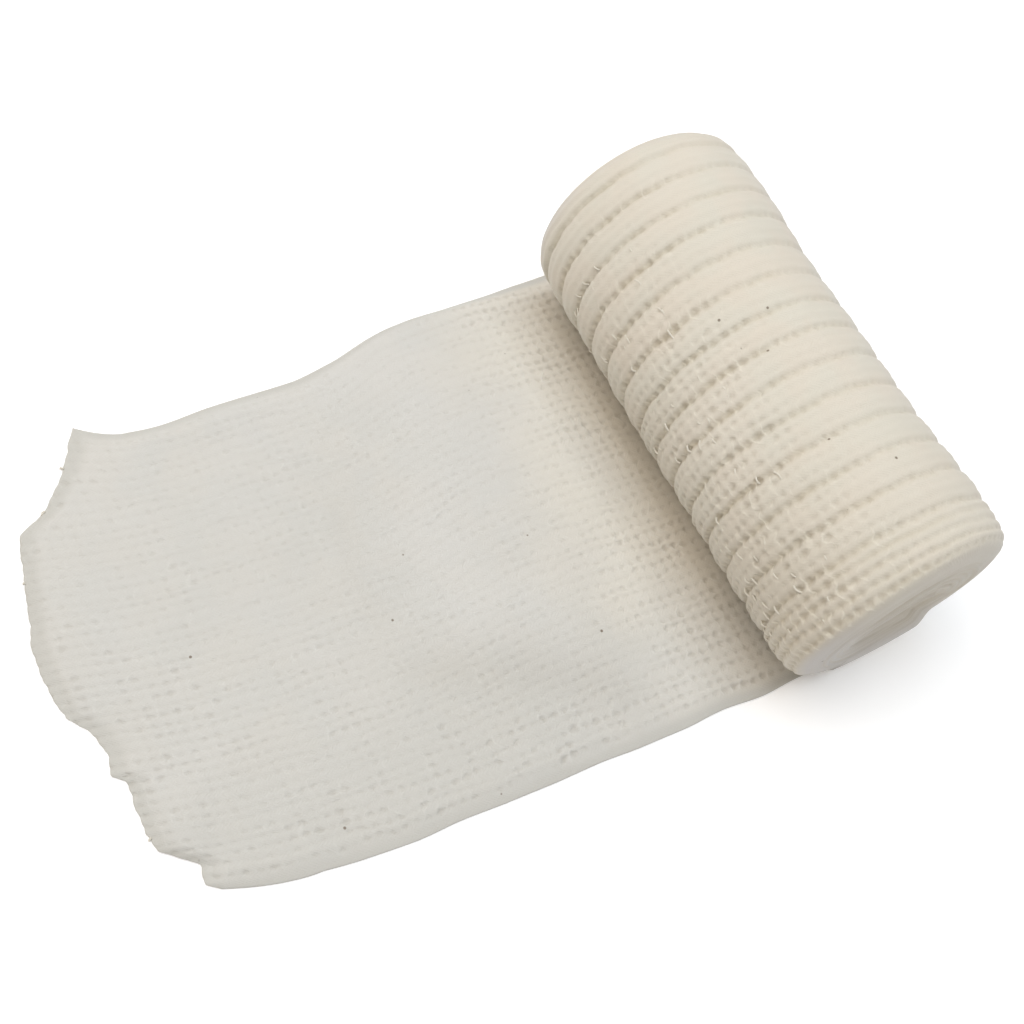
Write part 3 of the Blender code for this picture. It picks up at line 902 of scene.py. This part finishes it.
def cloth_material(name, cream, warm, grey, near, look):
    """Unbleached cotton crepe: a cream that drifts between warm and grey, darker holes, yarn and specks."""
    material, tree, shader, place = new_material(name)
    counts = add_node(tree, "ShaderNodeUVMap", uv_map="weave").outputs["UV"]
    opened = point_value(tree, "open")
    sizes = {"Counts": counts, "Open": opened, "Length": look.hole_length, "Width": look.hole_width}
    holes = place_group(tree, "weave_holes", sizes).outputs["Hole"]
    strands = place_group(tree, "cross_strands", {"Counts": counts, "Open": opened}).outputs["Strand"]
    yarn = place_group(tree, "cotton_yarn", {"Counts": counts})
    specks = place_group(tree, "husk_specks", {"Place": place}).outputs["Speck"]
    patches = noise_node(tree, place, 110.0, 2.0).outputs["Fac"]
    drift = noise_node(tree, place, 38.0, 2.0).outputs["Fac"]
    colour = blend_colour(tree, soft_range(tree, patches, 0.35, 0.65), cream, warm)
    light = tuple(0.5 * (first + second) for first, second in zip(cream, warm))
    drifted = (1.03 * light[0], 1.035 * light[1], 1.05 * light[2], 1.0)
    drift_share = sum_up(tree, "MULTIPLY", soft_range(tree, drift, 0.4, 0.7), 0.6)
    colour = blend_colour(tree, drift_share, colour, drifted)
    # the near colour: painted shade low on the roll's near end, and painted warm light on the loose end
    # beside the roll
    colour = blend_colour(tree, point_value(tree, "near"), colour, near)
    # the greyer colour: mostly painted shade, on the roll's right side a painted sheen, and along the loose
    # end's edges just greyer
    colour = blend_colour(tree, point_value(tree, "pale"), colour, grey)
    tinted = tuple(share * value for share, value in zip(look.tint, cream)) + (1.0,)
    colour = blend_colour(tree, point_value(tree, "shade"), colour, tinted)
    tone = sum_up(tree, "MULTIPLY_ADD", yarn.outputs["Tone"], 0.045, 0.965)
    toned = add_node(tree, "ShaderNodeCombineColor", {0: tone, 1: tone, 2: tone}).outputs[0]
    colour = blend_colour(tree, 1.0, colour, toned, "MULTIPLY")
    # painted shade in the holes, darker and warmer than the cream
    depth = (cream[0] * 0.44, cream[1] * 0.38, cream[2] * 0.29, 1.0)
    colour = blend_colour(tree, sum_up(tree, "MULTIPLY", holes, look.hole_share), colour, depth)
    # painted highlight on the strands
    lit = tuple(min(1.0, 1.2 * value) for value in cream)
    colour = blend_colour(tree, sum_up(tree, "MULTIPLY", strands, look.strand_share), colour, lit)
    colour = blend_colour(tree, sum_up(tree, "MULTIPLY", specks, 0.8), colour, HUSK_BROWN)
    height = sum_up(tree, "MULTIPLY_ADD", holes, -3.0, yarn.outputs["Height"])
    height = sum_up(tree, "MULTIPLY_ADD", strands, 2.6 * look.strand_share, height)
    bump = add_node(tree, "ShaderNodeBump", {"Height": height, "Strength": 0.6, "Distance": 0.0001})
    looks = {
        "Base Color": colour,
        "Normal": bump.outputs["Normal"],
        "Roughness": sum_up(tree, "MULTIPLY_ADD", patches, 0.1, 0.86),
        "Specular IOR Level": 0.25,
        "Sheen Weight": 0.25,
        "Sheen Roughness": 0.45,
    }
    set_inputs(shader, looks)
    return material


def thread_material(cream, warm):
    """Single cotton threads, a little lighter than the cloth, with their hair."""
    material, tree, shader, place = new_material("stray_cotton")
    patches = noise_node(tree, place, 400.0, 2.0).outputs["Fac"]
    bump = add_node(tree, "ShaderNodeBump", {"Height": patches, "Strength": 0.3, "Distance": 0.0001})
    looks = {
        "Base Color": blend_colour(tree, patches, cream, warm),
        "Normal": bump.outputs["Normal"],
        "Roughness": 0.9,
        "Sheen Weight": 0.3,
    }
    set_inputs(shader, looks)
    return material


def floor_material(colour):
    """Plain pale paper with a very faint tooth, lit a little from below."""
    material, tree, shader, place = new_material("studio_paper")
    tooth = noise_node(tree, place, 60.0, 2.0).outputs["Fac"]
    darker = tuple(0.985 * value for value in colour[:3]) + (1.0,)
    looks = {
        "Base Color": blend_colour(tree, tooth, colour, darker),
        "Roughness": 0.9,
        "Specular IOR Level": 0.1,
        "Emission Color": WHITE,
        "Emission Strength": FLOOR_GLOW,
    }
    set_inputs(shader, looks)
    return material


# Sizes and colours that a user would change


class BandageWeave(bpy.types.PropertyGroup):
    """Sizes of the crepe's weave."""

    courses_round: IntProperty(
        name="Courses round", description="Holes in a row round the outer turn", default=62, min=30, max=120
    )
    course_samples: IntProperty(
        name="Steps per course", description="Mesh steps from hole to hole round the roll",
        default=5, min=3, max=8,
    )
    wale_samples: IntProperty(
        name="Steps per wale", description="Mesh steps from hole to hole across the strip",
        default=4, min=3, max=8,
    )
    hole_depth: FloatProperty(
        name="Hole depth", description="How deep an open hole goes",
        default=0.00043, precision=5, unit="LENGTH",
    )
    hole_length: FloatProperty(
        name="Hole length", description="Length of a hole along the strip, in courses",
        default=0.7, subtype="FACTOR",
    )
    hole_width: FloatProperty(
        name="Hole width", description="Width of a hole across the strip, in wales",
        default=0.58, subtype="FACTOR",
    )
    wale_dip: FloatProperty(
        name="Wale dip", description="Depth between two wales", default=0.00014, precision=5, unit="LENGTH"
    )
    thread_radius: FloatProperty(
        name="Thread radius", description="Radius of a stray thread",
        default=0.0002, precision=5, unit="LENGTH",
    )
    pulled_loops: IntProperty(
        name="Pulled loops", description="Stray loops on the roll", default=90, min=0, max=400
    )
    frayed_ends: IntProperty(
        name="Frayed ends", description="Short threads along the cut end", default=5, min=0, max=200
    )


class BandageColours(bpy.types.PropertyGroup):
    """Colours of the cotton."""

    roll_cream: FloatVectorProperty(
        name="Roll cream", description="Cotton of the wound roll",
        subtype="COLOR", size=4, default=(0.665, 0.632, 0.545, 1.0),
    )
    roll_warm: FloatVectorProperty(
        name="Roll warm patches", description="Warmer patches of the wound roll",
        subtype="COLOR", size=4, default=(0.68, 0.626, 0.535, 1.0),
    )
    sheet_cream: FloatVectorProperty(
        name="Loose end cream", description="Cotton of the loose end",
        subtype="COLOR", size=4, default=(0.628, 0.622, 0.588, 1.0),
    )
    sheet_warm: FloatVectorProperty(
        name="Loose end warm patches", description="Warmer patches of the loose end",
        subtype="COLOR", size=4, default=(0.643, 0.629, 0.588, 1.0),
    )
    # Painted warm light on the loose end beside the roll, in the roll's shade
    sheet_lit_near_roll: FloatVectorProperty(
        name="Loose end near the roll", description="Painted warm light on the loose end beside the roll",
        subtype="COLOR", size=4, default=(0.738, 0.700, 0.618, 1.0),
    )
    thread_light: FloatVectorProperty(
        name="Thread", description="Lighter cotton of the stray threads",
        subtype="COLOR", size=4, default=(0.69, 0.655, 0.57, 1.0),
    )
    # Painted shade on the ends of the roll, and a painted sheen at its right side
    roll_painted_grey: FloatVectorProperty(
        name="Roll grey", description="Painted shade on the roll's ends and painted sheen at its right side",
        subtype="COLOR", size=4, default=(0.562, 0.538, 0.508, 1.0),
    )
    # Painted shade low on the near end of the roll
    roll_near_end_shade: FloatVectorProperty(
        name="Roll near end", description="Painted shade low on the near end of the roll",
        subtype="COLOR", size=4, default=(0.606, 0.559, 0.47, 1.0),
    )
    # Greyer along the edges of the loose end, and painted shade at its near and its far left side
    sheet_edge_and_shade_grey: FloatVectorProperty(
        name="Loose end grey", description="Greyer along the edges of the loose end, painted shade at its near and far left side",
        subtype="COLOR", size=4, default=(0.568, 0.56, 0.52, 1.0),
    )


class BandageStudio(bpy.types.PropertyGroup):
    """Light and camera of the studio."""

    floor_colour: FloatVectorProperty(
        name="Floor", description="Colour of the studio paper",
        subtype="COLOR", size=4, default=(0.94, 0.94, 0.94, 1.0),
    )
    fill_strength: FloatProperty(
        name="Fill", description="Strength of the even light from all round", default=0.33, min=0.0
    )
    fill_colour: FloatVectorProperty(
        name="Fill colour", description="Colour of the even light",
        subtype="COLOR", size=4, default=(1.0, 0.92, 0.85, 1.0),
    )
    light_share: FloatProperty(
        name="Light share", description="Share of the soft lights' power", default=1.0, min=0.0
    )
    light_size: FloatProperty(
        name="Light size", description="Side of each soft light", default=0.6, unit="LENGTH"
    )
    camera_place: FloatVectorProperty(
        name="Camera place", description="Where the camera stands",
        subtype="TRANSLATION", unit="LENGTH", precision=5, default=(-0.1534748, -0.0830428, 0.2167102),
    )
    camera_target: FloatVectorProperty(
        name="Camera target", description="The point in the middle of the view",
        subtype="TRANSLATION", unit="LENGTH", precision=5, default=(-0.0551126, -0.0044631, 0.02),
    )
    camera_roll: FloatProperty(
        name="Camera roll", description="Turn of the camera about its view",
        subtype="ANGLE", unit="ROTATION", default=math.radians(27.0),
    )
    lens: FloatProperty(name="Lens", description="Focal length in millimetres", default=47.19, min=1.0)


class BANDAGE_OT_roll_cloth(bpy.types.Operator):
    """Lay the ribbed cloth over the wound roll"""

    bl_idname = "bandage.roll_cloth"
    bl_label = "Roll cloth"

    def execute(self, context):
        colours = context.scene.bandage_colours
        piece = make_roll_cloth()
        cream, warm, grey = colours.roll_cream, colours.roll_warm, colours.roll_painted_grey
        near = colours.roll_near_end_shade
        piece.data.materials.append(cloth_material("crepe_roll", cream, warm, grey, near, ROLL_LOOK))
        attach(piece, "root")
        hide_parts("wound_roll")
        return {"FINISHED"}


class BANDAGE_OT_loose_end_cloth(bpy.types.Operator):
    """Lay the unrolled end of the strip on the surface"""

    bl_idname = "bandage.loose_end_cloth"
    bl_label = "Loose end cloth"

    def execute(self, context):
        colours = context.scene.bandage_colours
        piece = make_loose_end_cloth()
        cream, warm, grey = colours.sheet_cream, colours.sheet_warm, colours.sheet_edge_and_shade_grey
        near = colours.sheet_lit_near_roll
        piece.data.materials.append(cloth_material("crepe_sheet", cream, warm, grey, near, SHEET_LOOK))
        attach(piece, "root")
        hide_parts("loose_end")
        return {"FINISHED"}


class BANDAGE_OT_stray_threads(bpy.types.Operator):
    """Add the pulled loops on the roll and the frayed ends along the cut"""

    bl_idname = "bandage.stray_threads"
    bl_label = "Stray threads"

    def execute(self, context):
        colours = context.scene.bandage_colours
        piece = make_stray_threads()
        piece.data.materials.append(thread_material(colours.thread_light, colours.roll_cream))
        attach(piece, "root")
        return {"FINISHED"}


class BANDAGE_OT_studio(bpy.types.Operator):
    """Set up the pale floor, the soft light and the camera"""

    bl_idname = "bandage.studio"
    bl_label = "Studio"

    def execute(self, context):
        studio = context.scene.bandage_studio
        bpy.ops.object.select_all(action="DESELECT")
        bpy.ops.mesh.primitive_plane_add(size=FLOOR_SIDE, location=(0.0, 0.0, -FLOOR_DROP))
        floor = context.active_object
        floor.name = "studio_floor"
        floor.data.materials.append(floor_material(studio.floor_colour))
        for light in SOFT_LIGHTS:
            add_soft_light(light, studio)
        world = context.scene.world or bpy.data.worlds.new("studio_light")
        context.scene.world = world
        world.use_nodes = True
        sky = world.node_tree
        fill = sky.nodes["Background"]
        set_inputs(fill, {"Color": studio.fill_colour, "Strength": studio.fill_strength})
        # the camera sees white behind the floor, and the pieces are lit by the even light
        backdrop = add_node(sky, "ShaderNodeBackground", {"Color": WHITE})
        seen = add_node(sky, "ShaderNodeLightPath").outputs["Is Camera Ray"]
        either = add_node(sky, "ShaderNodeMixShader", {0: seen, 1: fill.outputs[0], 2: backdrop.outputs[0]})
        sky.links.new(either.outputs[0], sky.nodes["World Output"].inputs["Surface"])
        add_camera(studio)
        context.scene.view_settings.view_transform = "Standard"
        return {"FINISHED"}


def aim(place, target):
    """A turn that looks from one place at another, with its top up."""
    return (Vector(target) - Vector(place)).to_track_quat("-Z", "Y").to_matrix()


def add_soft_light(row, studio):
    """A large square light that looks at the roll."""
    light = bpy.data.lights.new(row.name, "AREA")
    light.shape = "SQUARE"
    light.size = studio.light_size
    light.energy = row.power * studio.light_share
    light.color = row.colour
    lamp = bpy.data.objects.new(row.name, light)
    bpy.context.scene.collection.objects.link(lamp)
    lamp.matrix_world = Matrix.Translation(row.place) @ aim(row.place, (0.0, 0.0, 0.0)).to_4x4()


def add_camera(studio):
    """The camera, at the viewing angle of the picture."""
    lens = bpy.data.cameras.new("camera")
    lens.lens = studio.lens
    lens.sensor_width = 36.0
    lens.clip_start = 0.01
    lens.clip_end = 50.0
    camera = bpy.data.objects.new("camera", lens)
    bpy.context.scene.collection.objects.link(camera)
    turn = aim(studio.camera_place, studio.camera_target) @ Matrix.Rotation(studio.camera_roll, 3, "Z")
    camera.matrix_world = Matrix.Translation(studio.camera_place) @ turn.to_4x4()
    bpy.context.scene.camera = camera


class BANDAGE_PT_panel(bpy.types.Panel):
    """Lists the bandage's pieces and settings"""

    bl_idname = "BANDAGE_PT_panel"
    bl_label = "Crepe bandage"
    bl_space_type = "VIEW_3D"
    bl_region_type = "UI"
    bl_category = "Bandage"

    def draw(self, context):
        layout = self.layout
        for operator in OPERATORS:
            layout.operator(operator.bl_idname)
        scene = context.scene
        for settings in (scene.bandage_weave, scene.bandage_colours, scene.bandage_studio):
            box = layout.box()
            for name in settings.__annotations__:
                box.prop(settings, name)


SETTINGS = (BandageWeave, BandageColours, BandageStudio)
OPERATORS = (BANDAGE_OT_roll_cloth, BANDAGE_OT_loose_end_cloth, BANDAGE_OT_stray_threads, BANDAGE_OT_studio)


def register():
    """Adds the settings, the operators and the panel to Blender."""
    for made in (*SETTINGS, *OPERATORS, BANDAGE_PT_panel):
        bpy.utils.register_class(made)
    bpy.types.Scene.bandage_weave = PointerProperty(type=BandageWeave)
    bpy.types.Scene.bandage_colours = PointerProperty(type=BandageColours)
    bpy.types.Scene.bandage_studio = PointerProperty(type=BandageStudio)


def unregister():
    """Takes them out again."""
    del bpy.types.Scene.bandage_weave
    del bpy.types.Scene.bandage_colours
    del bpy.types.Scene.bandage_studio
    for made in (BANDAGE_PT_panel, *OPERATORS[::-1], *SETTINGS[::-1]):
        bpy.utils.unregister_class(made)


def main():
    """Makes every piece and the studio."""
    register()
    bpy.ops.bandage.roll_cloth()
    bpy.ops.bandage.loose_end_cloth()
    bpy.ops.bandage.stray_threads()
    bpy.ops.bandage.studio()


if __name__ == "__main__":
    main()
